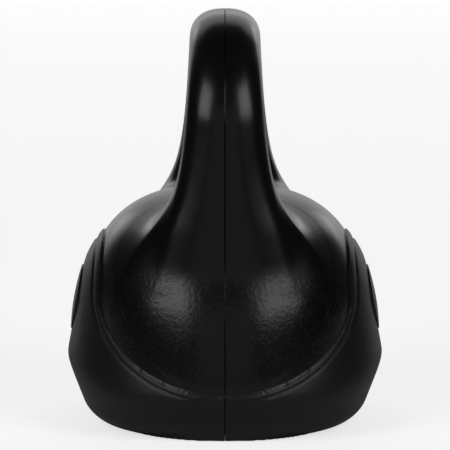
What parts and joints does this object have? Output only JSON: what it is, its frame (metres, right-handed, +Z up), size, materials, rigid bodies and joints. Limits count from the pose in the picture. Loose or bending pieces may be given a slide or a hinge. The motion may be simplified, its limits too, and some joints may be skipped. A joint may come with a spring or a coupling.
{
  "type": "kettlebell",
  "caption": "Kettlebell with a moulded plastic case over a cast filling, a looped handle over a rounded bell, and a flat base to stand on.",
  "frame": {"origin": "middle of the base, on the surface it stands on", "axes": "+Z up, +X along the grip, +Y to the front, square to the joint line"},
  "size_m": [0.1918, 0.1716, 0.224],
  "materials": {
    "case": "satin moulded black with a very fine grain",
    "filling": "rough cast concrete",
    "rod": "drawn bar",
    "plug": "satin moulded black",
    "badge": "smooth black, blank"
  },
  "bodies": {
    "root": {"front_shell": "case", "rear_shell": "case", "core": "filling", "handle_rod": "rod", "filler_plug": "plug", "front_badge": "badge", "rear_badge": "badge"}
  },
  "joints": []
}
